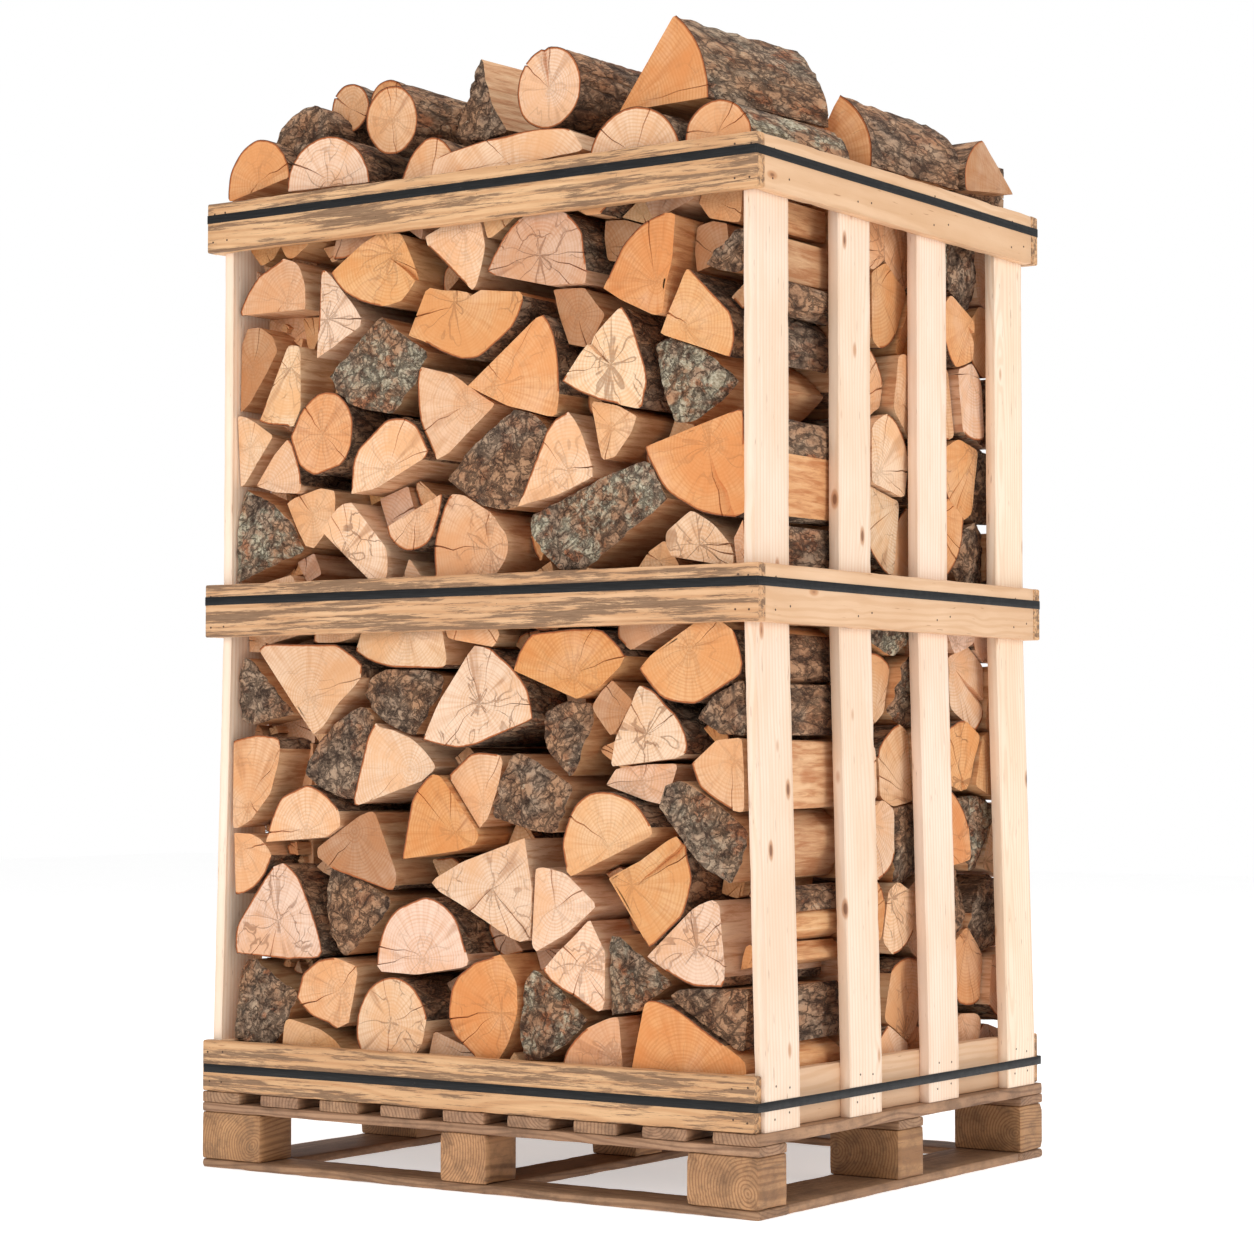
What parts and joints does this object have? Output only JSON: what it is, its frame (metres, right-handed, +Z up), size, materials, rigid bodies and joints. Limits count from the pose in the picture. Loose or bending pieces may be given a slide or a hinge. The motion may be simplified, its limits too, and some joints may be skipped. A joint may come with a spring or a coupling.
{
  "type": "crate of split firewood",
  "caption": "Split firewood logs stacked in a tall open-front pallet crate with side posts, board collars and straps, with a heap on top.",
  "frame": {"origin": "on the ground under the middle of the crate", "axes": "+Z up, +X along the long side, the open front with the log ends faces -Y"},
  "size_m": [1.2026, 1.0026, 2.0033],
  "materials": {
    "pallet_wood": "old rough-sawn pine, grey-brown, matt",
    "block_wood": "rough softwood blocks with open cracks, matt",
    "collar_stained": "rough-sawn pine with dark mould stains and streaks, matt",
    "collar_pale": "planed light pine, fine grain, low sheen",
    "post_wood": "very pale planed pine with straight grain and small knots",
    "split_wood": "sawn and split hardwood, pale to orange-tan, with rings and drying cracks",
    "bark": "rough grey-brown bark with lichen, on split hardwood",
    "strap": "black polyester strapping band, satin",
    "nail": "small bright nail heads, some rusted"
  },
  "bodies": {
    "root": {"base_front": "pallet_wood", "base_back": "pallet_wood", "base_left": "pallet_wood", "base_centre": "pallet_wood", "base_right": "pallet_wood", "block_front_left": "block_wood", "block_front_centre": "block_wood", "block_front_right": "block_wood", "stringer_front": "pallet_wood", "block_middle_left": "block_wood", "block_middle_centre": "block_wood", "block_middle_right": "block_wood", "stringer_middle": "pallet_wood", "block_back_left": "block_wood", "block_back_centre": "block_wood", "block_back_right": "block_wood", "stringer_back": "pallet_wood", "deck_1": "pallet_wood", "deck_2": "pallet_wood", "deck_3": "pallet_wood", "deck_4": "pallet_wood", "deck_5": "pallet_wood", "deck_6": "pallet_wood", "deck_7": "pallet_wood", "deck_8": "pallet_wood", "deck_9": "pallet_wood", "collar_low_front": "collar_stained", "collar_low_back": "collar_stained", "collar_low_left": "collar_pale", "collar_low_right": "collar_pale", "collar_mid_front": "collar_stained", "collar_mid_back": "collar_stained", "collar_mid_left": "collar_pale", "collar_mid_right": "collar_pale", "collar_top_front": "collar_stained", "collar_top_back": "collar_stained", "collar_top_left": "collar_pale", "collar_top_right": "collar_pale", "post_left_1": "post_wood", "post_left_2": "post_wood", "post_left_3": "post_wood", "post_left_4": "post_wood", "post_right_1": "post_wood", "post_right_2": "post_wood", "post_right_3": "post_wood", "post_right_4": "post_wood", "strap_low": "strap", "strap_mid": "strap", "strap_top": "strap", "stack_lower": "split_wood", "stack_upper": "split_wood", "heap_mound": "split_wood", "heap_log_1": "bark", "heap_log_2": "bark", "heap_log_3": "bark", "heap_log_4": "bark", "heap_log_5": "bark", "heap_log_6": "bark", "heap_log_7": "bark", "heap_log_8": "bark"}
  },
  "joints": []
}
